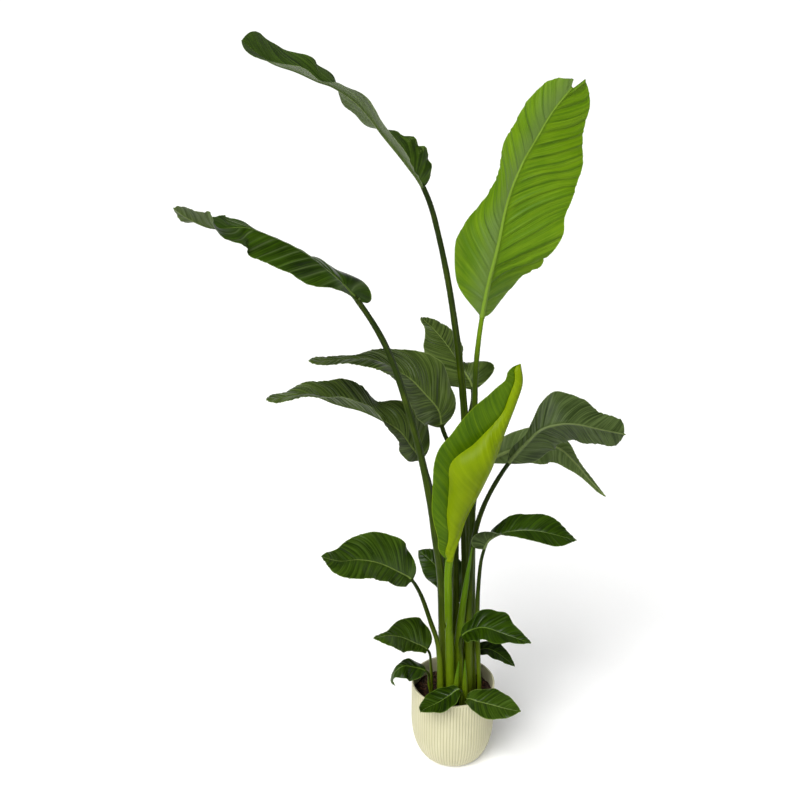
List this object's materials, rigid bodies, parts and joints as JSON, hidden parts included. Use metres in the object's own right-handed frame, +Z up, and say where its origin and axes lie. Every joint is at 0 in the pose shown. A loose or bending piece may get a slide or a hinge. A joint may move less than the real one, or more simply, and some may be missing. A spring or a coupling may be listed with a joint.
{
  "type": "potted bird of paradise plant",
  "caption": "Tall potted bird of paradise: long bare leaf stalks with broad veined blades rising from dark soil in a round cream pot with fine vertical ribs.",
  "frame": {"origin": "middle of the pot's flat underside, on the floor", "axes": "+Z up along the pot's axis, +X to the right and -Y toward the viewer, as the plant is seen from its front"},
  "size_m": [0.9681, 0.554, 1.7987],
  "materials": {
    "leaf_green": "satin green leaf, darker and glossier above, paler below",
    "leaf_lime": "satin bright green young leaf",
    "stalk_green": "satin olive green leaf stalk",
    "stalk_lime": "satin bright green young stalk",
    "pot_cream": "matt cream plastic with fine vertical ribs",
    "potting_soil": "dark crumbly bark compost"
  },
  "bodies": {
    "root": {"leaf_base_left": "leaf_green", "leaf_base_right": "leaf_green", "leaf_front_left": "leaf_green", "leaf_front_right": "leaf_green", "leaf_high_left": "leaf_green", "leaf_high_right": "leaf_lime", "leaf_low_left": "leaf_green", "leaf_low_right": "leaf_green", "leaf_mid_left": "leaf_green", "leaf_mid_right": "leaf_green", "leaf_outer_left": "leaf_green", "leaf_rear": "leaf_green", "leaf_rear_low": "leaf_green", "leaf_rear_right": "leaf_green", "leaf_rim_left": "leaf_green", "leaf_rim_right": "leaf_green", "leaf_upper_left": "leaf_green", "leaf_young": "leaf_lime", "pot": "pot_cream", "shoot_left": "stalk_lime", "shoot_right": "stalk_lime", "soil": "potting_soil", "spear": "stalk_lime", "stalk_base_left": "stalk_green", "stalk_base_right": "stalk_green", "stalk_front_left": "stalk_green", "stalk_front_right": "stalk_green", "stalk_high_left": "stalk_green", "stalk_high_right": "stalk_lime", "stalk_low_left": "stalk_green", "stalk_low_right": "stalk_green", "stalk_mid_left": "stalk_green", "stalk_mid_right": "stalk_green", "stalk_outer_left": "stalk_green", "stalk_rear": "stalk_green", "stalk_rear_low": "stalk_green", "stalk_rear_right": "stalk_green", "stalk_rim_left": "stalk_green", "stalk_rim_right": "stalk_green", "stalk_upper_left": "stalk_green", "stalk_young": "stalk_lime"}
  },
  "joints": []
}
